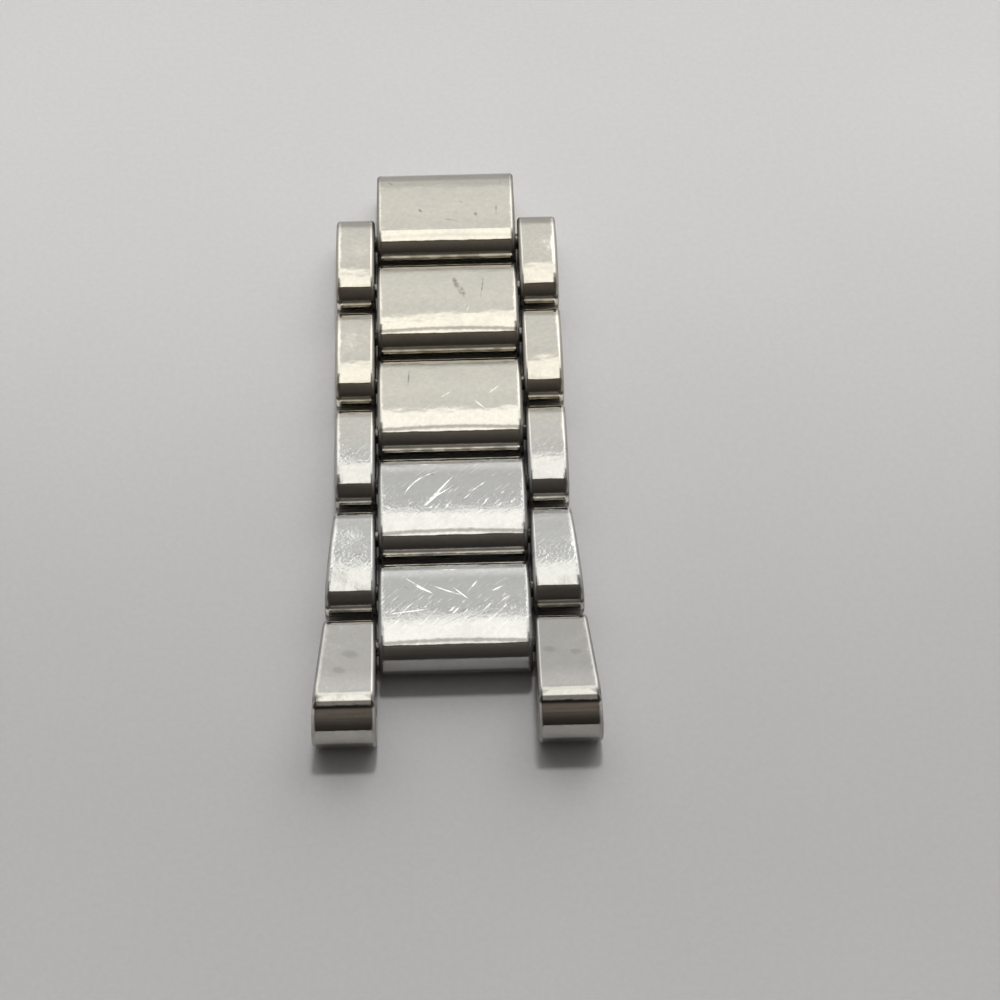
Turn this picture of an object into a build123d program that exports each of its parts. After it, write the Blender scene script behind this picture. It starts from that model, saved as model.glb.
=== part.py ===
"""Section of a three-row watch bracelet that ends in a pair of flared end pieces.

X runs across the bracelet and Y along it, with the end pieces towards -Y. The wrist
side lies on Z = 0, and the whole section is centred on X and Y.
"""

import os
from math import sqrt

from build123d import *

os.makedirs("parts", exist_ok=True)

# Driving dimensions, in millimetres
half_pitch = 4.7
link_width = 17.0
ears_width = 20.0
centre_width = 10.7
row_gap = 0.2
front_radius = 1.95
rear_radius = 1.6
rear_overhang = 0.7
crown_radius = 12.0
edge_round = 0.28

# End pieces, measured from their rear pin
bar_reach = 5.67
nose_low_radius = 2.25
nose_height = 4.8
nose_top_radius = 1.74
nose_top_setback = 0.23
bar_bore_radius = 0.8

# Pins and their fits
pin_radius = 0.6
running_clearance = 0.03
pin_recess = 0.2
pin_chamfer = 0.08

# Layout of the rows. Two pin axes cross each link, and the first of all has no pin
sides = {"left": -1, "right": 1}
centre_link_count = 5
straight_pair_count = 3
axes_per_link = 2
first_pin = 1
half_share = 0.5
cut_overrun = 1.0

# Sizes across
half_width = link_width * half_share
half_centre = centre_width * half_share
half_ears = ears_width * half_share
side_depth = half_ears + cut_overrun
inner_x = half_centre + row_gap
centre_bore_radius = pin_radius + running_clearance

# Pin axes along the section, from the far end to the end pieces
axis_count = centre_link_count * axes_per_link
chain_length = half_pitch * (axis_count - first_pin)
rear_reach = rear_overhang + rear_radius
total_length = rear_reach + chain_length + bar_reach + nose_low_radius
first_axis_y = total_length * half_share - rear_reach
axes_y = [first_axis_y - half_pitch * place for place in range(axis_count)]
centre_axes = list(zip(axes_y[::axes_per_link], axes_y[first_pin::axes_per_link]))
outer_axes = list(zip(axes_y[first_pin::axes_per_link], axes_y[axes_per_link::axes_per_link]))

# Crowned top of a link. Its arc runs into a low round end, which juts past the rear pin,
# and into a higher one around the front pin
pin_z = front_radius
ends_run = half_pitch + rear_overhang
ends_rise = front_radius - rear_radius
ends_length = sqrt(ends_run * ends_run + ends_rise * ends_rise)
crown_to_rear = crown_radius - rear_radius
crown_to_front = crown_radius - front_radius
crown_along = (ends_length + ends_rise * (crown_to_rear + crown_to_front) / ends_length) * half_share
crown_below = sqrt((crown_to_rear - crown_along) * (crown_to_rear + crown_along))
crown_run = (ends_run * crown_along + ends_rise * crown_below) / ends_length
crown_drop = (ends_run * crown_below - ends_rise * crown_along) / ends_length
link_top_z = rear_radius - crown_drop + crown_radius

# Flared outer side, which starts at the rear of the first pair past the straight ones
flare_start_y = outer_axes[straight_pair_count][0] + rear_reach
flare_run = flare_start_y + total_length * half_share
flare_rise = half_ears - half_width


def outer_x(y):
    """Half the section's width at y: even at first, then wider up to the end pieces."""
    return half_width + flare_rise * max(flare_start_y - y, 0) / flare_run


def draw_link_side(rear_y, front_y):
    """Lines of a link from the side: flat under, round at both ends, crowned on top."""
    round_y = rear_y + rear_overhang
    rear_share = rear_radius / crown_to_rear
    front_share = front_radius / crown_to_front
    crown_top = (round_y - crown_run, link_top_z)
    rear_tangent = (round_y + crown_run * rear_share, rear_radius + crown_drop * rear_share)
    front_tangent = (
        front_y + (crown_run - ends_run) * front_share,
        front_radius + (ends_rise + crown_drop) * front_share,
    )
    Line((front_y, 0), (round_y, 0))
    ThreePointArc((round_y, 0), (round_y + rear_radius, rear_radius), rear_tangent)
    ThreePointArc(rear_tangent, crown_top, front_tangent)
    ThreePointArc(front_tangent, (front_y - front_radius, front_radius), (front_y, 0))


def draw_side_plan(side, rear_y, front_y):
    """Lines of a side row from above: along the bracelet inside, along the flare outside."""
    rear_inner = (side * inner_x, rear_y)
    front_inner = (side * inner_x, front_y)
    rear_corner = (side * outer_x(rear_y), rear_y)
    front_corner = (side * outer_x(front_y), front_y)
    Polyline(rear_corner, rear_inner, front_inner, front_corner, close=True)


def make_centre_link(name, rear_y, front_y):
    """A wide middle link, loose on the pins through both of its ends."""
    with BuildPart() as link:
        with BuildSketch(Plane.YZ):
            with BuildLine():
                draw_link_side(rear_y, front_y)
            make_face()
        extrude(amount=half_centre, both=True)
        fillet(link.faces().filter_by(Axis.X).edges(), edge_round)
        with BuildSketch(Plane.YZ):
            with Locations((rear_y, pin_z), (front_y, pin_z)):
                Circle(centre_bore_radius)
        extrude(amount=half_centre, both=True, mode=Mode.SUBTRACT)
    link.part.label = name
    export_step(link.part, f"parts/{name}.step")


def make_outer_link(name, side, rear_y, front_y):
    """A narrow side link, pressed onto the ends of two pins."""
    with BuildPart() as link:
        with BuildSketch(Plane.YZ):
            with BuildLine():
                draw_link_side(rear_y, front_y)
            make_face()
        extrude(amount=side * side_depth)
        with BuildSketch(Plane.XY):
            with BuildLine():
                draw_side_plan(side, rear_y + rear_reach, front_y - front_radius)
            make_face()
        extrude(amount=link_top_z, mode=Mode.INTERSECT)
        across = link.faces().sort_by(Axis.X)
        fillet(across.first.edges() + across.last.edges(), edge_round)
        with BuildSketch(Plane.YZ):
            with Locations((rear_y, pin_z), (front_y, pin_z)):
                Circle(pin_radius)
        extrude(amount=side * side_depth, mode=Mode.SUBTRACT)
    link.part.label = name
    export_step(link.part, f"parts/{name}.step")


def make_end_piece(name, side, rear_y):
    """A flared end piece that rises from its rear pin to a deep nose with a bar bore."""
    bar_y = rear_y - bar_reach
    with BuildPart() as ear:
        with BuildSketch(Plane.YZ):
            with Locations((rear_y + rear_overhang, rear_radius)):
                Circle(rear_radius)
            with Locations((bar_y, nose_low_radius)):
                Circle(nose_low_radius)
            with Locations((bar_y + nose_top_setback, nose_height - nose_top_radius)):
                Circle(nose_top_radius)
            make_hull()
        extrude(amount=side * side_depth)
        with BuildSketch(Plane.XY):
            with BuildLine():
                draw_side_plan(side, rear_y + rear_reach, bar_y - nose_low_radius)
            make_face()
        extrude(amount=nose_height, mode=Mode.INTERSECT)
        across = ear.faces().sort_by(Axis.X)
        fillet(across.first.edges() + across.last.edges(), edge_round)
        with BuildSketch(Plane.YZ):
            with Locations((rear_y, pin_z)):
                Circle(pin_radius)
            with Locations((bar_y, nose_low_radius)):
                Circle(bar_bore_radius)
        extrude(amount=side * side_depth, mode=Mode.SUBTRACT)
    ear.part.label = name
    export_step(ear.part, f"parts/{name}.step")


def make_link_pin(name, y):
    """A pin across all three rows, with both ends just inside the outer sides."""
    with BuildPart() as pin:
        with BuildSketch(Plane.YZ):
            with Locations((y, pin_z)):
                Circle(pin_radius)
        extrude(amount=outer_x(y) - pin_recess, both=True)
        chamfer(pin.edges().filter_by(GeomType.CIRCLE), pin_chamfer)
    pin.part.label = name
    export_step(pin.part, f"parts/{name}.step")


for number, (rear_y, front_y) in enumerate(centre_axes, start=first_pin):
    make_centre_link(f"centre_link_{number}", rear_y, front_y)

for side_name, side in sides.items():
    for number, (rear_y, front_y) in enumerate(outer_axes, start=first_pin):
        make_outer_link(f"outer_link_{side_name}_{number}", side, rear_y, front_y)
    make_end_piece(f"end_piece_{side_name}", side, axes_y[-first_pin])

for number, pin_y in enumerate(axes_y[first_pin:], start=first_pin):
    make_link_pin(f"link_pin_{number}", pin_y)
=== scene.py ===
"""Looks of the watch bracelet section: polished steel links on a sheet of pale paper."""

import math
from collections import namedtuple

import bpy
from mathutils import Matrix, Vector

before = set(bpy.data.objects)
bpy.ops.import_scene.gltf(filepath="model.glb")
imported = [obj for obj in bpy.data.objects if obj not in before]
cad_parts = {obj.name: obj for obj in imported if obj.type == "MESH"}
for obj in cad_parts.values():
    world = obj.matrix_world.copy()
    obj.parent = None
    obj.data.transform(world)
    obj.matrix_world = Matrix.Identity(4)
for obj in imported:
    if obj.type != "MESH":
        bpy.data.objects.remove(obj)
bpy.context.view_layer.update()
bpy.context.scene.view_settings.view_transform = "Standard"

MM = 0.001


def low(name):
    """The lowest corner of a part's box, in millimetres."""
    return Vector([min(places) for places in zip(*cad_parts[name].bound_box)]) / MM


def high(name):
    """The highest corner of a part's box, in millimetres."""
    return Vector([max(places) for places in zip(*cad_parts[name].bound_box)]) / MM


def middle_y(name):
    """Where the middle of a part lies along the bracelet, in millimetres."""
    return (low(name).y + high(name).y) / 2


# Places of the links, read off the parts, in millimetres
FRONT_PIN_Y = {"centre": middle_y("link_pin_1"), "outer": middle_y("link_pin_2")}
LINK_PITCH = middle_y("link_pin_1") - middle_y("link_pin_3")
REAR_REACH = high("centre_link_5").y - middle_y("link_pin_9")
FRONT_REACH = LINK_PITCH - REAR_REACH
FIRST_LINK_Y = (low("centre_link_1").y + high("centre_link_2").y) / 2
FIRST_OUTER_REAR = high("outer_link_right_1").y
HALF_CENTRE = high("centre_link_1").x
INNER_X = low("outer_link_right_1").x
HALF_WIDTH = high("outer_link_right_1").x
FLARE_Y = high("outer_link_right_4").y
TIP_Y = low("end_piece_right").y
FLARE_SLOPE = (high("end_piece_right").x - HALF_WIDTH) / (FLARE_Y - TIP_Y)

# Camera, fitted to the photograph's edges. Its distance and target are in pitches of the links
IMAGE_SIDE = 1000
SENSOR = 36.0
FOCAL_PX = 2839.9
ELEVATION = math.radians(53.405)
ROLL = math.radians(-0.416)
YAW = math.radians(1.307)
DISTANCE = 22.193
TARGET = Vector((0.3885, -0.7489, 0.0))
CHAIN_SHIFT = Vector((0.0, 2.81 * MM, 0.0))
NEAR_CLIP = 0.005
FAR_CLIP = 20.0


def make_camera():
    """The photograph's view, from in front of the forked ends and above."""
    sight = Vector((0.0, math.cos(ELEVATION), -math.sin(ELEVATION)))
    level_up = Vector((0.0, math.sin(ELEVATION), math.cos(ELEVATION)))
    side = Vector((1.0, 0.0, 0.0))
    right = math.cos(ROLL) * side + math.sin(ROLL) * level_up
    up = math.cos(ROLL) * level_up - math.sin(ROLL) * side
    turn = Matrix.Rotation(-YAW, 3, "Z")
    place = turn @ (TARGET - sight * DISTANCE) * LINK_PITCH * MM + CHAIN_SHIFT
    axes = Matrix((turn @ right, turn @ up, turn @ -sight)).transposed()
    data = bpy.data.cameras.new("photo_camera")
    data.sensor_width = SENSOR
    data.lens = FOCAL_PX * SENSOR / IMAGE_SIDE
    data.clip_start = NEAR_CLIP
    data.clip_end = FAR_CLIP
    camera = bpy.data.objects.new("photo_camera", data)
    camera.matrix_world = Matrix.Translation(place) @ axes.to_4x4()
    bpy.context.scene.collection.objects.link(camera)
    bpy.context.scene.camera = camera
    return camera


# Height at which the photograph's marks are placed, just under the highest of the links' tops,
# and the scale of the picture there
MARKS_HEIGHT = 3.95
PIXELS_PER_MM = 14.0


def top_point(camera, x, y):
    """The point of the links' tops, in millimetres, that shows at a pixel of the picture."""
    ray = Vector((x - IMAGE_SIDE / 2, IMAGE_SIDE / 2 - y, -FOCAL_PX))
    sight = camera.matrix_world.to_3x3() @ ray
    eye = camera.matrix_world.translation / MM
    point = eye + sight * ((MARKS_HEIGHT - eye.z) / sight.z)
    return point.xy


# Where the Mix node keeps its colours
MIX_FIRST, MIX_SECOND, MIX_RESULT = 6, 7, 2


class Graph:
    """Short ways to add and join the nodes of one node tree."""

    def __init__(self, tree):
        self.tree = tree
        tree.nodes.clear()

    def node(self, kind, **settings):
        made = self.tree.nodes.new(kind)
        for name, value in settings.items():
            setattr(made, name, value)
        return made

    def put(self, socket, value):
        """Sets a socket to a number or colour, or joins it to another node's output."""
        if isinstance(value, bpy.types.NodeSocket):
            self.tree.links.new(value, socket)
        elif value is not None:
            socket.default_value = value

    def math(self, operation, a, b=None, c=None):
        made = self.node("ShaderNodeMath", operation=operation)
        for place, value in enumerate((a, b, c)):
            self.put(made.inputs[place], value)
        return made.outputs[0]

    def add(self, a, b):
        return self.math("ADD", a, b)

    def minus(self, a, b):
        return self.math("SUBTRACT", a, b)

    def times(self, a, b):
        return self.math("MULTIPLY", a, b)

    def most(self, a, b):
        return self.math("MAXIMUM", a, b)

    def scaled(self, a, factor, base):
        """The value times a factor, plus a base."""
        return self.math("MULTIPLY_ADD", a, factor, base)

    def smooth(self, value, start, end, before=0.0, after=1.0):
        """Eases from one output to another while the value goes from start to end."""
        made = self.node("ShaderNodeMapRange", interpolation_type="SMOOTHSTEP")
        self.put(made.inputs["Value"], value)
        made.inputs["From Min"].default_value = start
        made.inputs["From Max"].default_value = end
        made.inputs["To Min"].default_value = before
        made.inputs["To Max"].default_value = after
        return made.outputs[0]

    def mix(self, share, first, second):
        """Blends two colours, each a node's output or its red, green and blue."""
        made = self.node("ShaderNodeMix", data_type="RGBA")
        self.put(made.inputs[0], share)
        for place, colour in ((MIX_FIRST, first), (MIX_SECOND, second)):
            self.put(made.inputs[place], (*colour, 1.0) if isinstance(colour, tuple) else colour)
        return made.outputs[MIX_RESULT]

    def ramp(self, value, stops):
        """A colour that runs through these stops, each a position and its colour."""
        made = self.node("ShaderNodeValToRGB")
        elements = made.color_ramp.elements
        while len(elements) > 1:
            elements.remove(elements[-1])
        for place, (position, colour) in enumerate(stops):
            item = elements[0] if place == 0 else elements.new(position)
            item.position = position
            item.color = (*colour, 1.0)
        self.put(made.inputs[0], value)
        return made.outputs[0]

    def mapped(self, source, scale=(1, 1, 1), turn=(0, 0, 0), shift=(0, 0, 0)):
        made = self.node("ShaderNodeMapping")
        self.put(made.inputs["Vector"], source)
        made.inputs["Scale"].default_value = scale
        made.inputs["Rotation"].default_value = turn
        made.inputs["Location"].default_value = shift
        return made.outputs[0]

    def noise(self, vector, scale, detail=2.0, roughness=0.5):
        made = self.node("ShaderNodeTexNoise")
        self.put(made.inputs["Vector"], vector)
        made.inputs["Scale"].default_value = scale
        made.inputs["Detail"].default_value = detail
        made.inputs["Roughness"].default_value = roughness
        return made.outputs["Fac"]

    def split(self, vector):
        made = self.node("ShaderNodeSeparateXYZ")
        self.put(made.inputs[0], vector)
        return made.outputs

    def millimetres(self):
        """The place on the object, in millimetres of the shared frame."""
        where = self.node("ShaderNodeTexCoord").outputs["Object"]
        return self.mapped(where, scale=(1 / MM, 1 / MM, 1 / MM))

    def relief(self, height):
        """The normal of a skin of this height, in millimetres."""
        bump = self.node("ShaderNodeBump")
        bump.inputs["Distance"].default_value = MM
        self.put(bump.inputs["Height"], height)
        return bump.outputs[0]

    def finish(self, shader):
        out = self.node("ShaderNodeOutputMaterial")
        self.put(out.inputs["Surface"], shader.outputs[0])


def new_material(name):
    """A material and the graph of its nodes, still empty."""
    material = bpy.data.materials.new(name)
    material.use_nodes = True
    return material, Graph(material.node_tree)


# The room as the links see it: angle from straight up, in degrees, positive towards the
# camera, and the light that comes from there, as a share of the brightest. OVERHEAD holds
# where the links face along the bracelet, ASIDE further to the left and right
ROOM_STRENGTH = 1.8
OVERHEAD = [
    (-180, (0.14, 0.14, 0.14)),
    (-92, (0.40, 0.40, 0.40)),
    (-80, (0.46, 0.46, 0.46)),
    (-75, (0.58, 0.58, 0.58)),
    (-50, (0.62, 0.62, 0.62)),
    (-33, (0.58, 0.58, 0.58)),
    (-30.5, (0.97, 0.96, 0.93)),
    (28, (1.0, 0.98, 0.94)),
    (30, (0.034, 0.029, 0.025)),
    (37, (0.090, 0.078, 0.068)),
    (46, (0.066, 0.058, 0.052)),
    (58, (0.042, 0.037, 0.033)),
    (72, (0.026, 0.023, 0.021)),
    (90, (0.014, 0.013, 0.012)),
    (180, (0.14, 0.14, 0.14)),
]
ASIDE = [
    (-180, (0.14, 0.14, 0.14)),
    (-90, (0.45, 0.45, 0.45)),
    (-60, (0.80, 0.80, 0.80)),
    (-35, (0.75, 0.75, 0.75)),
    (-18, (0.14, 0.14, 0.135)),
    (0, (0.045, 0.045, 0.042)),
    (26, (0.035, 0.035, 0.032)),
    (33, (0.03, 0.027, 0.024)),
    (90, (0.014, 0.013, 0.012)),
    (180, (0.14, 0.14, 0.14)),
]
# How far to the side a direction points where ASIDE takes over, and where ASIDE's light goes
# from its gain near the middle to its gain far out. The right side is lighter
STRIP_EDGES = (0.05, 0.11)
SIDE_GAIN = (0.3, 0.75, 1.8, 0.3)
RIGHT_SHARE = 0.65
# Plain grey background, which the steel mirrors only far to the sides
BACKDROP = (0.31, 0.31, 0.31)
BACKDROP_SIDES = (0.4, 0.8)
HALF_TURN = 180
FULL_TURN = 360


def make_world():
    """Soft light from above and behind, and a dim room on the camera's side."""
    world = bpy.data.worlds.new("studio")
    bpy.context.scene.world = world
    world.use_nodes = True
    g = Graph(world.node_tree)
    x, y, z = g.split(g.node("ShaderNodeTexCoord").outputs["Generated"])
    angle = g.math("ARCTAN2", g.times(y, -1.0), z)
    share = g.scaled(angle, 0.5 / math.pi, 0.5)
    overhead, aside = (
        g.ramp(share, [((degrees + HALF_TURN) / FULL_TURN, colour) for degrees, colour in stops])
        for stops in (OVERHEAD, ASIDE)
    )
    across = g.math("ABSOLUTE", x)
    leaning = g.node("ShaderNodeVectorMath", operation="SCALE")
    g.put(leaning.inputs[0], aside)
    g.put(leaning.inputs["Scale"], g.times(g.smooth(across, *SIDE_GAIN), g.scaled(x, RIGHT_SHARE, 1.0)))
    light = g.mix(g.smooth(across, *STRIP_EDGES), overhead, leaning.outputs[0])
    path = g.node("ShaderNodeLightPath")
    mirrored = g.times(path.outputs["Is Glossy Ray"], g.smooth(across, *BACKDROP_SIDES))
    back = g.node("ShaderNodeBackground")
    g.put(back.inputs["Color"], g.mix(g.most(path.outputs["Is Camera Ray"], mirrored), light, BACKDROP))
    back.inputs["Strength"].default_value = ROOM_STRENGTH
    out = g.node("ShaderNodeOutputWorld")
    g.put(out.inputs["Surface"], back.outputs[0])


# The lamp behind the object, above the picture's top edge: it gives the shadows in front
LAMP_STRENGTH = 1.12
LAMP_BACK = math.radians(23)
LAMP_ASIDE = math.radians(3)
LAMP_WIDTH = math.radians(7)


def make_lamp():
    data = bpy.data.lights.new("soft_lamp", "SUN")
    data.energy = LAMP_STRENGTH
    data.angle = LAMP_WIDTH
    lamp = bpy.data.objects.new("soft_lamp", data)
    lamp.rotation_euler = (-LAMP_BACK, LAMP_ASIDE, 0.0)
    lamp.visible_glossy = False
    bpy.context.scene.collection.objects.link(lamp)


# Paper: its tone and tint, how it lightens from near to far, a painted shade that is darker towards the
# camera, its faint clouds and its tooth
FLOOR_HALF = 1.5
PAPER_TONE = 0.61
PAPER_TINT = (1.015, 1.0, 0.995)
PAPER_LIGHTENS = (-34.0, 40.0, 0.785, 1.115)
CLOUD_SCALE = 0.045
CLOUDS = (0.3, 0.7, 0.99, 1.01)
TOOTH_SCALE = 2.2
TOOTH = (0.25, 0.75, 0.975, 1.025)
FIBRE_SCALE = 3.0
FIBRE_HEIGHT = 0.01
PAPER_ROUGHNESS = 0.9
PAPER_SPECULAR = 0.1


def paper_material():
    """Pale grey paper with a faint tooth, and painted shade: a little lighter away from the camera."""
    material, g = new_material("paper")
    where = g.millimetres()
    # Painted shade: the paper is painted darker towards the camera and lighter away from it
    far = g.smooth(g.split(where)[1], *PAPER_LIGHTENS)
    cloud = g.smooth(g.noise(where, CLOUD_SCALE), *CLOUDS)
    tooth = g.smooth(g.noise(where, TOOTH_SCALE, detail=5.0, roughness=0.65), *TOOTH)
    tone = g.times(g.times(far, cloud), g.times(tooth, PAPER_TONE))
    shade = g.node("ShaderNodeCombineColor")
    for place, tint in enumerate(PAPER_TINT):
        g.put(shade.inputs[place], g.times(tone, tint))
    fibres = g.times(g.noise(where, FIBRE_SCALE, detail=4.0), FIBRE_HEIGHT)
    shader = g.node("ShaderNodeBsdfPrincipled")
    g.put(shader.inputs["Base Color"], shade.outputs[0])
    g.put(shader.inputs["Normal"], g.relief(fibres))
    shader.inputs["Roughness"].default_value = PAPER_ROUGHNESS
    shader.inputs["Specular IOR Level"].default_value = PAPER_SPECULAR
    g.finish(shader)
    return material


def make_floor():
    mesh = bpy.data.meshes.new("paper_floor")
    half = FLOOR_HALF
    corners = [(-half, -half, 0), (half, -half, 0), (half, half, 0), (-half, half, 0)]
    mesh.from_pydata(corners, [], [(0, 1, 2, 3)])
    floor = bpy.data.objects.new("paper_floor", mesh)
    bpy.context.scene.collection.objects.link(floor)
    mesh.materials.append(paper_material())


# How one row of links looks: the tone of the steel near the ends and far from them, which paints the
# near tops darker and cooler as painted shade, how wavy it is, and the strength of the painted dark
# line under the band, of the painted shading, of nicks, of smudges and of painted dark edges, how far
# the edges fall, and how much of a dark mark's width is solid
Look = namedtuple("Look", "kind near far waves line shade nicks smudges edges fall core")
NEUTRAL = (0.56, 0.56, 0.54)
WARM = (0.605, 0.578, 0.505)
CENTRE_LOOK = Look("centre", NEUTRAL, WARM, 1.0, 0.7, 0.22, 0.7, 0.18, 0.4, -0.1, 0.2)
OUTER_LOOK = Look(
    "outer", (0.52, 0.52, 0.50), (0.575, 0.549, 0.48), 2.3, 0.15, 0.1, 0.35, 0.18, 0.1, -0.1, 0.0
)
END_LOOK = Look("end", (0.57, 0.555, 0.52), WARM, 0.5, 0.0, 0.3, 0.35, 0.3, 0.1, -0.04, 0.0)

# How far the skin has to lean up, aside or to the front before it counts as such a face. The
# edges and tops are what doesn't face aside in full
FACES_UP = (0.15, 0.5)
FACES_ASIDE = (0.8, 0.97)
FACES_FRONT = (-0.4, -0.8)
NOT_ASIDE = (1.0, 0.95)


class Spot:
    """A place on a link: where it is along its link, and which way the steel faces there."""

    def __init__(self, g, look):
        self.look = look
        self.where = g.millimetres()
        self.x, self.y, self.z = g.split(self.where)
        self.across = g.math("ABSOLUTE", self.x)
        facing = g.split(g.node("ShaderNodeTexCoord").outputs["Normal"])
        self.sideways = g.math("ABSOLUTE", facing[0])
        self.along = facing[1]
        self.upward = g.smooth(facing[2], *FACES_UP)
        self.past = self.distance_past(g)
        self.edge = self.edge_distance(g)

    def distance_past(self, g):
        """How far behind its link's front pin a place lies, or behind the tip of its end piece."""
        if self.look.kind == "end":
            return g.add(self.y, -TIP_Y)
        pin = FRONT_PIN_Y[self.look.kind]
        return g.add(g.math("WRAP", self.y, pin + REAR_REACH, pin - FRONT_REACH), -pin)

    def edge_distance(self, g):
        """How far a place lies from the nearest long edge of its link."""
        if self.look.kind == "centre":
            return g.minus(HALF_CENTRE, self.across)
        flare = g.most(g.minus(FLARE_Y, self.y), 0.0)
        outer = g.scaled(flare, FLARE_SLOPE, HALF_WIDTH)
        return g.math("MINIMUM", g.add(self.across, -INNER_X), g.minus(outer, self.across))


# Single marks of each centre link that show in the photograph, as x and y of both ends,
# the width, and for bent ones the sag to the left, in pixels
# Bright scratches, and painted glints: both marks of link 2, the fifth of link 5 and the last of links 4
# and 5
SCRATCHES_AND_GLINTS = {
    2: [(455, 312, 468, 303, 1.5), (466, 314, 470, 304, 1.4)],
    3: [(488, 394, 500, 384, 1.3), (440, 398, 452, 391, 1.1), (474, 400, 486, 409, 1.2)],
    4: [
        (403, 497, 441, 467, 1.6, 6.5), (422, 506, 455, 471, 1.6, -1.5), (423, 507, 441, 489, 3.0, -1),
        (430, 500, 452, 486, 1.2), (470, 492, 486, 480, 1.2), (416, 459, 440, 459, 1.8),
    ],
    5: [
        (403, 573, 434, 593, 1.5, -1), (412, 582, 433, 593, 2.6), (429, 582, 464, 595, 1.7, -1),
        (466, 593, 478, 577, 1.5), (492, 590, 503, 584, 1.6), (386, 615, 430, 609, 1.6),
        (452, 585, 470, 600, 1.2), (439, 564, 461, 564, 2.0),
    ],
}
# The two wide marks of link 2 are painted shade for its dents; the others are dark specks and lines
DARK_MARKS = {
    1: [
        (475, 213, 476, 215, 4), (419, 210, 421, 212, 4), (460, 201, 462, 203, 3),
        (499, 179, 501, 181, 3), (496, 205, 496, 216, 2.2), (445, 219, 458, 221, 3.4),
        (388, 178, 392, 181, 3),
    ],
    2: [(483, 270, 479, 303, 2.2, 1), (454, 276, 457, 286, 8), (458, 284, 464, 296, 8)],
    3: [(409, 366, 408, 385, 2.2)],
    4: [(430, 470, 433, 472, 2.4)],
    5: [(405, 585, 409, 588, 2.4)],
}
SMUDGES = [
    (346, 653, 354, 655, 14), (336, 672, 342, 674, 11), (546, 648, 552, 649, 11), (573, 651, 579, 652, 10),
]
# How much of a bright scratch's width is solid, and a depth that takes a mark through a link
BRIGHT_CORE = 0.35
MARK_DEPTH = 1000.0


def streak(g, where, start, end, width, sag, core):
    """A single mark with tapered ends, between two points, bent to the left by the sag."""
    along = end - start
    middle = (start + end) / 2
    made = g.node("ShaderNodeMapping", vector_type="TEXTURE")
    g.put(made.inputs["Vector"], where)
    made.inputs["Location"].default_value = (middle.x, middle.y, 0.0)
    made.inputs["Rotation"].default_value = (0.0, 0.0, math.atan2(along.y, along.x))
    made.inputs["Scale"].default_value = ((along.length + width) / 2, width / 2, MARK_DEPTH)
    u, v, _ = g.split(made.outputs[0])
    bend = sag / (width / 2)
    square = g.times(u, u)
    off = g.scaled(square, bend, g.add(v, -bend))
    return g.smooth(g.scaled(off, off, square), core * core, 1.0, 1.0, 0.0)


def marks(g, where, camera, pixel_marks, core):
    """Marks given by their ends, width and sag in the photograph's pixels."""
    strongest = None
    for x0, y0, x1, y1, width, *sag in pixel_marks:
        start = top_point(camera, x0, y0)
        end = top_point(camera, x1, y1)
        bent = sag[0] / PIXELS_PER_MM if sag else 0.0
        mark = streak(g, where, start, end, width / PIXELS_PER_MM, bent, core)
        strongest = mark if strongest is None else g.most(strongest, mark)
    return strongest


# Short nicks: their size, and for the light and the dark ones the way they run, a shift that
# sets them apart, and how strong the pattern is where one shows
NICK_LENGTH = 1.1
NICK_WIDTH = 0.15
LIGHT_NICKS = (-48, 3.1, (0.6, 0.74))
DARK_NICKS = (-27, 9.7, (0.4, 0.27))
PATCH_SCALE = 1.1
PATCHES = (0.42, 0.62)
# Scuffs lie behind the bright band of a link's top, most near the end pieces, and on the sides
SIDE_SCUFFS = 0.6
EAR_SCUFFS = 0.06
SCUFFS_START = (0.1, 0.9, 0.05, 1.0)
SCUFFS_END = (3.6, 1.2, 0.3, 1.0)
SCUFFS_ALONG = (3.0, -6.0, 0.1, 1.0)


def nicks(g, spot, angle, seed, shown):
    """Short fine scratches that all run one way."""
    turned = g.mapped(spot.where, turn=(0, 0, math.radians(angle)), shift=(seed, -seed, 0))
    drawn = g.mapped(turned, scale=(1 / NICK_LENGTH, 1 / NICK_WIDTH, 0.0))
    return g.smooth(g.noise(drawn, 1.0, detail=0.0), *shown)


def scuffed(g, spot):
    """How scuffed a place is: most just behind the bright band of the worn links' tops."""
    sides = g.smooth(spot.sideways, *FACES_ASIDE, 0.0, SIDE_SCUFFS)
    if spot.look.kind == "end":
        return g.most(sides, EAR_SCUFFS)
    behind_band = g.times(g.smooth(spot.past, *SCUFFS_START), g.smooth(spot.past, *SCUFFS_END))
    top = g.times(g.smooth(spot.y, *SCUFFS_ALONG), g.times(behind_band, spot.upward))
    return top if spot.look.kind == "centre" else g.most(sides, top)


# The skin's heights in millimetres. Waves are stretched across the link, and calm on its front
CALM_FRONT = (-0.45, -0.75, 1.0, 0.25)
WAVE_STRETCH = (0.5, 1.0, 1.0)
WAVE_SCALE = 0.4
WAVE_HEIGHT = 0.05
RIPPLE_SCALE = 1.5
RIPPLE_HEIGHT = 0.014
GRAIN_SCALE = 4.5
GRAIN_HEIGHT = 0.0018
SCUFF_HEIGHT = 0.014
EDGE_REACH = 0.5
CUT_HEIGHT = -0.004
# The first link lies a little tilted, which moves the light on its top
FIRST_LINK_TILT = -0.04


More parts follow.
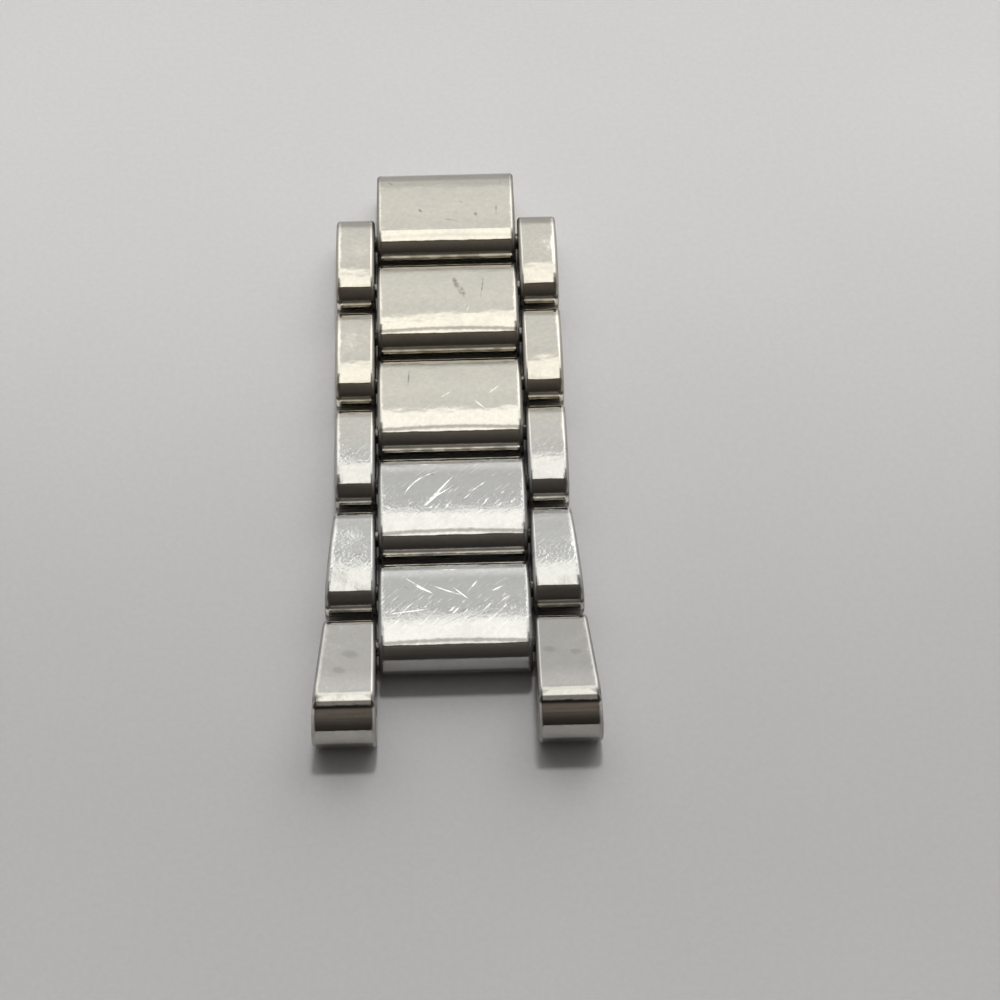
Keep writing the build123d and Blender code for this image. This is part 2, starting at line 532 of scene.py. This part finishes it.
def steel_skin(g, spot, cut, scuff):
    """Height of the skin: waves and grain, edges rounded by wear, and the scratches."""
    rolled = g.mapped(spot.where, scale=WAVE_STRETCH)
    wave = g.times(g.noise(rolled, WAVE_SCALE, detail=1.0), WAVE_HEIGHT * spot.look.waves)
    ripple = g.times(g.noise(rolled, RIPPLE_SCALE, detail=1.0), RIPPLE_HEIGHT)
    rolling = g.times(g.smooth(spot.along, *CALM_FRONT), g.add(wave, ripple))
    grain = g.times(g.noise(spot.where, GRAIN_SCALE), g.scaled(scuff, SCUFF_HEIGHT, GRAIN_HEIGHT))
    near_edge = g.most(g.minus(EDGE_REACH, spot.edge), 0.0)
    skin = g.scaled(g.times(near_edge, near_edge), spot.look.fall, rolling)
    skin = g.scaled(cut, CUT_HEIGHT, g.add(skin, grain))
    if spot.look.kind == "centre":
        on_first = g.most(g.add(spot.y, -FIRST_LINK_Y), 0.0)
        skin = g.scaled(on_first, FIRST_LINK_TILT, skin)
    return g.relief(skin)


# Painted shading of an end piece, by distance from its tip: the top behind the bright band darkens
# towards its rear, and the band's corners are rounded near the edges. The right end piece is painted a
# little darker
BLACK = (0.0, 0.0, 0.0)
EAR_TOP_DARKENS = (4.7, 3.0, 1.0, 0.45)
EAR_BAND_REAR = (2.15, 2.3)
CORNER_BEND = (0.1, 0.9, 0.36, 0.0)
CORNER_REAR = (2.1, 2.35, 0.0, 1.3)
CORNER_FRONT = (2.4, 2.15)
CORNER_EDGE = (0.9, 0.6)
RIGHT_EAR_DARKER = (0.0, 1.0, 0.0, 0.12)


def end_shade(g, spot):
    """Shading of an end piece: a bright band with round corners across the nose."""
    behind = g.times(g.smooth(spot.past, *EAR_BAND_REAR), g.smooth(spot.past, *EAR_TOP_DARKENS))
    bent = g.add(spot.past, g.smooth(spot.edge, *CORNER_BEND))
    corner = g.times(g.smooth(bent, *CORNER_REAR), g.smooth(spot.past, *CORNER_FRONT))
    corner = g.times(corner, g.smooth(spot.edge, *CORNER_EDGE))
    return g.most(behind, corner)


# Painted shading and a painted highlight on a link, by distance behind its front pin, and where along the
# bracelet it holds
TOP_FRONT = (0.4, 1.6)
TOP_REAR = (5.9, 4.2)
TOP_ALONG = (2.0, -4.0)
RIM = (4.6, 5.6)
RIM_ALONG = (2.0, 0.0)
RIM_HIGHLIGHT_SHARE = 0.5
RIM_HIGHLIGHT_TONE = (0.78, 0.78, 0.76)
SHADE_REAR = (5.2, 5.6)
SHADE_REAR_ALONG = (-5.0, 3.0, 0.0, 0.36)
DIP_FRONT = (5.5, 5.75)
DIP_REAR = (6.15, 6.0)
DIP_ALONG = (3.0, -3.0, 0.0, 0.5)
REAR_TONE = (0.08, 0.08, 0.075)


def link_shade(g, spot):
    """Darker tops between the bright rear rim and the bright front band of the near links."""
    top = g.times(g.smooth(spot.past, *TOP_FRONT), g.smooth(spot.past, *TOP_REAR))
    return g.times(top, g.smooth(spot.y, *TOP_ALONG))


def rim_highlight(g, spot):
    """Painted highlight on the rear rim of the near centre links."""
    rim = g.times(g.smooth(spot.past, *RIM), g.smooth(spot.y, *RIM_ALONG))
    return g.times(g.times(rim, RIM_HIGHLIGHT_SHARE), spot.upward)


def rear_shade(g, spot):
    """Painted shade on the rear of the far links' tops, and a dark line of it behind the rear rim of the
    near ones.
    """
    shaded_rear = g.times(g.smooth(spot.past, *SHADE_REAR), g.smooth(spot.y, *SHADE_REAR_ALONG))
    dip = g.times(g.smooth(spot.past, *DIP_FRONT), g.smooth(spot.past, *DIP_REAR))
    return g.times(g.most(shaded_rear, g.times(dip, g.smooth(spot.y, *DIP_ALONG))), spot.upward)


# Where the steel turns from its near to its far tone, which is painted shade, and its smudges, mottling and
# painted dark edges
WARMS_ALONG = (-6.0, 4.0)
SMUDGE_SCALE = 0.5
SMUDGED = (0.4, 0.7)
SMUDGE_TONE = (0.40, 0.39, 0.36)
MOTTLE_SCALE = 2.6
MOTTLED = (0.3, 0.7, 0.0, 0.22)
MOTTLE_TONE = (0.30, 0.29, 0.26)
EDGE_SHADE = (0.42, 0.12)
EDGE_SHADE_TONE = (0.06, 0.055, 0.05)


def shaded_tone(g, spot):
    """Colour of the steel, painted warmer and lighter away from the ends, with the painted shading and
    highlights of its kind of link.
    """
    # The near tone is painted shade: darker and cooler tops near the end pieces
    tone = g.mix(g.smooth(spot.y, *WARMS_ALONG), spot.look.near, spot.look.far)
    shade = end_shade(g, spot) if spot.look.kind == "end" else link_shade(g, spot)
    tone = g.mix(g.times(g.times(shade, spot.look.shade), spot.upward), tone, BLACK)
    if spot.look.kind == "end":
        # The right end piece is painted darker: painted shade
        return g.mix(g.smooth(spot.x, *RIGHT_EAR_DARKER), tone, BLACK)
    if spot.look.kind == "centre":
        # Painted highlight on the rear rim
        tone = g.mix(rim_highlight(g, spot), tone, RIM_HIGHLIGHT_TONE)
    return g.mix(rear_shade(g, spot), tone, REAR_TONE)


def worn_and_shaded_tone(g, spot, smudge):
    """The shaded steel with matt smudges, fine mottling and edges darkened by painted shade."""
    tone = g.mix(g.times(smudge, spot.look.smudges), shaded_tone(g, spot), SMUDGE_TONE)
    mottle = g.smooth(g.noise(spot.where, MOTTLE_SCALE, detail=5.0, roughness=0.75), *MOTTLED)
    tone = g.mix(mottle, tone, MOTTLE_TONE)
    # Painted shade on the edges, which darkens the light they mirror
    shaded_edge = g.times(g.smooth(spot.edge, *EDGE_SHADE), g.smooth(spot.sideways, *NOT_ASIDE))
    return g.mix(g.times(shaded_edge, spot.look.edges), tone, EDGE_SHADE_TONE)


# The dark line of painted shade under a link's bright band: its place past the front pin and its bow
# across, how far and how finely it is ragged, its width, and where it starts after the first link
LINE_PAST = -0.72
LINE_BOW = -0.006
LINE_RAGGED = 0.16
RAGGED_SCALE = 3.0
LINE_WIDTH = (0.04, 0.2)
LINE_STARTS = (FIRST_LINK_Y + 0.2, FIRST_LINK_Y, 0.2, 1.0)
LINE_TONE = (0.16, 0.15, 0.14)


def front_line(g, spot, tone):
    """The thin dark line of painted shade just behind the lower edge of the bright band."""
    bowed = g.scaled(g.times(spot.x, spot.x), LINE_BOW, LINE_PAST)
    off_line = g.math("ABSOLUTE", g.minus(spot.past, bowed))
    ragged = g.scaled(g.noise(spot.where, RAGGED_SCALE), LINE_RAGGED, -LINE_RAGGED / 2)
    line = g.smooth(g.add(off_line, ragged), *LINE_WIDTH, spot.look.line, 0.0)
    return g.mix(g.times(line, g.smooth(spot.y, *LINE_STARTS)), tone, LINE_TONE)


# Heights on the nose of an end piece: a dark line of painted shade from one height to another, and lighter
# streaks of painted sheen below
NOSE_FRONT = (-0.3, -0.4)
NOSE_GRAIN = (0.15, 1.0, 9.0)
NOSE_GRAIN_SHOWN = (0.3, 0.7, 0.3, 0.8)
NOSE_LIGHT_LOW = (3.6, 4.2)
NOSE_LIGHT_HIGH = (4.45, 4.35)
NOSE_LIGHT_TONE = (0.80, 0.75, 0.70)
NOSE_LINE_LOW = (4.36, 4.46)
NOSE_LINE_HIGH = (4.71, 4.67)
NOSE_LINE_SHARE = 0.9
NOSE_LINE_TONE = (0.05, 0.045, 0.04)


def nose_lines(g, spot, tone):
    """A dark line of painted shade under the bright band of an end piece, with streaks of painted sheen
    below it.
    """
    front = g.smooth(spot.along, *NOSE_FRONT)
    fine = g.noise(g.mapped(spot.where, scale=NOSE_GRAIN), 1.0)
    lighter = g.times(g.smooth(spot.z, *NOSE_LIGHT_LOW), g.smooth(fine, *NOSE_GRAIN_SHOWN))
    lighter = g.times(lighter, g.smooth(spot.z, *NOSE_LIGHT_HIGH))
    tone = g.mix(g.times(lighter, front), tone, NOSE_LIGHT_TONE)
    line = g.times(g.smooth(spot.z, *NOSE_LINE_HIGH), g.smooth(spot.z, *NOSE_LINE_LOW))
    return g.mix(g.times(g.times(line, front), NOSE_LINE_SHARE), tone, NOSE_LINE_TONE)


# Dirt and painted shade in the gaps: where they start on the sides, how high they reach there, and
# how much of them holds on the hidden fronts. On fronts that no other link covers there is less
DIRT_AND_SHADE_TONE = (0.11, 0.09, 0.078)
DIRT_AND_SHADE_BEHIND = (FIRST_OUTER_REAR + 0.4, FIRST_OUTER_REAR - 0.3)
DIRT_AND_SHADE_INSIDE = (INNER_X + 0.5, INNER_X + 0.4)
DIRT_AND_SHADE_ON_SIDES = (3.6, 3.0)
DIRT_AND_SHADE_ON_FRONT = (3.0, 2.75)
DIRT_AND_SHADE_THINS = (1.7, 1.95, 0.5, 1.0)
DIRT_AND_SHADE_SHARE = 0.85
EAR_DIRT_AND_SHADE = 0.8
OPEN_SIDE_DIRT_AND_SHADE = 0.8
OPEN_FRONT_DIRT_AND_SHADE = 0.3
# The bright line down in the gap, a painted reflection of the next link's top, by height, and the breaks
# that make it uneven
GAP_REFLECTION_TONE = (1.0, 0.97, 0.90)
GAP_REFLECTION_LOW = (1.85, 2.15)
GAP_REFLECTION_HIGH = (2.72, 2.55)
GLINT_BREAK_STRETCH = (0.9, 1.0, 1.5)
GLINT_BREAKS = (0.35, 0.65, 1.0, 0.6)


def gap_reflection(g, spot):
    """A painted reflection of the next link's top: a bright line down in the gap, broken into glints."""
    glint_breaks = g.noise(g.mapped(spot.where, scale=GLINT_BREAK_STRETCH), 1.0)
    line = g.times(g.smooth(spot.z, *GAP_REFLECTION_LOW), g.smooth(spot.z, *GAP_REFLECTION_HIGH))
    line = g.times(line, g.smooth(spot.along, *FACES_FRONT))
    return g.times(line, g.smooth(glint_breaks, *GLINT_BREAKS))


def side_dirt_and_shade(g, spot):
    """Grime and painted shade on the sides between the rows, low down on the links."""
    inner = g.smooth(spot.sideways, *FACES_ASIDE)
    if spot.look.kind == "centre":
        inner = g.times(inner, g.smooth(spot.y, *DIRT_AND_SHADE_BEHIND))
    else:
        inner = g.times(inner, g.smooth(spot.across, *DIRT_AND_SHADE_INSIDE))
    if spot.look.kind == "end":
        return g.times(inner, EAR_DIRT_AND_SHADE)
    return g.times(inner, g.smooth(spot.z, *DIRT_AND_SHADE_ON_SIDES))


def gap_dirt_and_shade(g, spot, open_front):
    """Grime and painted shade down in the gaps: on the sides between the rows and on the hidden fronts."""
    sides = side_dirt_and_shade(g, spot)
    front = g.smooth(spot.along, *FACES_FRONT)
    if open_front:
        sides = g.times(sides, OPEN_SIDE_DIRT_AND_SHADE)
        return g.most(sides, g.times(front, OPEN_FRONT_DIRT_AND_SHADE)) if spot.look.kind == "centre" else sides
    front = g.times(g.times(front, g.smooth(spot.z, *DIRT_AND_SHADE_ON_FRONT)), g.smooth(spot.z, *DIRT_AND_SHADE_THINS))
    front = g.times(front, g.minus(DIRT_AND_SHADE_SHARE, gap_reflection(g, spot)))
    return g.most(sides, g.most(front, 0.0))


# How the bright scratches, and the painted glints among them, fade away from the end pieces, along
# the bracelet, how uneven the single marks are, and the tones of marks and nicks
SCRATCHES_FADE = (8.0, -4.0, 0.3, 1.0)
UNEVEN_SCALE = 2.2
UNEVEN = (0.32, 0.6, 0.3, 0.95)
BROKEN_SCALE = 2.6
BROKEN = (0.35, 0.6, 0.2, 0.65)
SMUDGES_SHOWN = 0.3
MARK_TONE = (0.16, 0.15, 0.14)
DARK_NICK_SHARE = 0.45
DARK_NICK_TONE = (0.20, 0.20, 0.21)
CUT_SHARE = 0.85
CUT_TONE = (0.92, 0.91, 0.87)


def cuts(g, spot, camera, bright, light_nicks):
    """Everything that cuts the skin: the light nicks, and the photograph's bright scratches with the
    painted glints among them.
    """
    cut = g.times(light_nicks, spot.look.nicks)
    if not bright:
        return cut
    uneven = g.smooth(g.noise(spot.where, UNEVEN_SCALE), *UNEVEN)
    uneven = g.times(g.smooth(spot.y, *SCRATCHES_FADE), uneven)
    scratches = g.times(marks(g, spot.where, camera, bright, BRIGHT_CORE), spot.upward)
    return g.most(cut, g.times(scratches, uneven))


def dark_marks_tone(g, spot, camera, dark, tone):
    """The photograph's dark marks on the centre links, or its smudges on the end pieces."""
    spots = g.times(marks(g, spot.where, camera, dark, spot.look.core), spot.upward)
    shown = SMUDGES_SHOWN
    if spot.look.kind == "centre":
        shown = g.smooth(g.noise(spot.where, BROKEN_SCALE), *BROKEN)
    return g.mix(g.times(spots, shown), tone, MARK_TONE)


# Roughness of clean polish, and what smudges, cuts, the gaps' grime and painted shade, and worn edges add
# to it
POLISH = 0.05
SMUDGE_ROUGHNESS = 0.06
CUT_ROUGHNESS = 0.25
DIRT_AND_SHADE_ROUGHNESS = 0.2
EDGE_ROUGHNESS = (0.38, 0.1, 0.0, 0.42)
DIRT_AND_SHADE_METALLIC = -0.3


def roughness(g, spot, smudge, cut, darkening):
    gloss = g.scaled(cut, CUT_ROUGHNESS, g.scaled(smudge, SMUDGE_ROUGHNESS, POLISH))
    frayed = g.times(g.smooth(spot.edge, *EDGE_ROUGHNESS), g.smooth(spot.sideways, *NOT_ASIDE))
    return g.scaled(darkening, DIRT_AND_SHADE_ROUGHNESS, g.add(gloss, frayed))


def polished_steel(name, look, camera, bright=(), dark=(), open_front=False):
    """Polished steel, wavy from wear, with scratches, smudges, grime in the gaps, and painted shade,
    highlights and reflections.
    """
    material, g = new_material(name)
    spot = Spot(g, look)
    scuff = scuffed(g, spot)
    patchy = g.times(scuff, g.smooth(g.noise(spot.where, PATCH_SCALE, detail=3.0, roughness=0.7), *PATCHES))
    light_nicks, dark_nicks = (g.times(nicks(g, spot, *kind), patchy) for kind in (LIGHT_NICKS, DARK_NICKS))
    cut = cuts(g, spot, camera, bright, light_nicks)
    smudge = g.smooth(g.noise(spot.where, SMUDGE_SCALE, detail=3.0, roughness=0.6), *SMUDGED)
    tone = worn_and_shaded_tone(g, spot, smudge)
    tone = nose_lines(g, spot, tone) if look.kind == "end" else front_line(g, spot, tone)
    tone = g.mix(g.times(dark_nicks, DARK_NICK_SHARE), tone, DARK_NICK_TONE)
    if not open_front:
        # The bright line in the gap is a painted reflection of the next link's top
        tone = g.mix(gap_reflection(g, spot), tone, GAP_REFLECTION_TONE)
    # Dirt and painted shade darken the gaps
    darkening = gap_dirt_and_shade(g, spot, open_front)
    tone = g.mix(darkening, tone, DIRT_AND_SHADE_TONE)
    if dark:
        tone = dark_marks_tone(g, spot, camera, dark, tone)
    shader = g.node("ShaderNodeBsdfPrincipled")
    g.put(shader.inputs["Base Color"], g.mix(g.times(cut, CUT_SHARE), tone, CUT_TONE))
    g.put(shader.inputs["Metallic"], g.scaled(darkening, DIRT_AND_SHADE_METALLIC, 1.0))
    g.put(shader.inputs["Roughness"], roughness(g, spot, smudge, cut, darkening))
    g.put(shader.inputs["Normal"], steel_skin(g, spot, cut, scuff))
    g.finish(shader)
    return material


# Pins: rings from the lathe, and dirt in patches
RING_STRETCH = (9.0, 0.2, 0.2)
RING_HEIGHT = 0.008
PIN_DIRT_SCALE = 1.6
PIN_DIRT = (0.35, 0.65)
PIN_TONE = (0.34, 0.33, 0.31)
PIN_DIRT_TONE = (0.09, 0.08, 0.07)
PIN_METALLIC = (1.0, 0.75)
PIN_ROUGHNESS = (0.28, 0.6)


def turned_steel(name):
    """Pin steel, darkened by years between the links, with rings from the lathe."""
    material, g = new_material(name)
    where = g.millimetres()
    rings = g.noise(g.mapped(where, scale=RING_STRETCH), 1.0)
    darkening = g.smooth(g.noise(where, PIN_DIRT_SCALE, detail=4.0, roughness=0.65), *PIN_DIRT)
    shader = g.node("ShaderNodeBsdfPrincipled")
    g.put(shader.inputs["Base Color"], g.mix(darkening, PIN_TONE, PIN_DIRT_TONE))
    g.put(shader.inputs["Metallic"], g.smooth(darkening, 0.0, 1.0, *PIN_METALLIC))
    g.put(shader.inputs["Roughness"], g.smooth(darkening, 0.0, 1.0, *PIN_ROUGHNESS))
    g.put(shader.inputs["Normal"], g.relief(g.times(rings, RING_HEIGHT)))
    g.finish(shader)
    return material


def dress_parts(camera):
    """Gives every part its steel. Each centre link has its own, for the marks of its top."""
    materials = {
        "outer_link": polished_steel("polished_steel_outer", OUTER_LOOK, camera),
        "end_piece": polished_steel("polished_steel_ends", END_LOOK, camera, dark=SMUDGES, open_front=True),
        "link_pin": turned_steel("turned_steel_pins"),
    }
    for number, dark in DARK_MARKS.items():
        materials[f"centre_link_{number}"] = polished_steel(
            f"polished_steel_centre_{number}", CENTRE_LOOK, camera,
            bright=SCRATCHES_AND_GLINTS.get(number, ()), dark=dark, open_front=number == len(DARK_MARKS))
    for name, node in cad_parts.items():
        kind = next(kind for kind in materials if name.startswith(kind))
        for slot in node.material_slots:
            slot.material = materials[kind]


photo_camera = make_camera()
make_world()
make_lamp()
make_floor()
dress_parts(photo_camera)
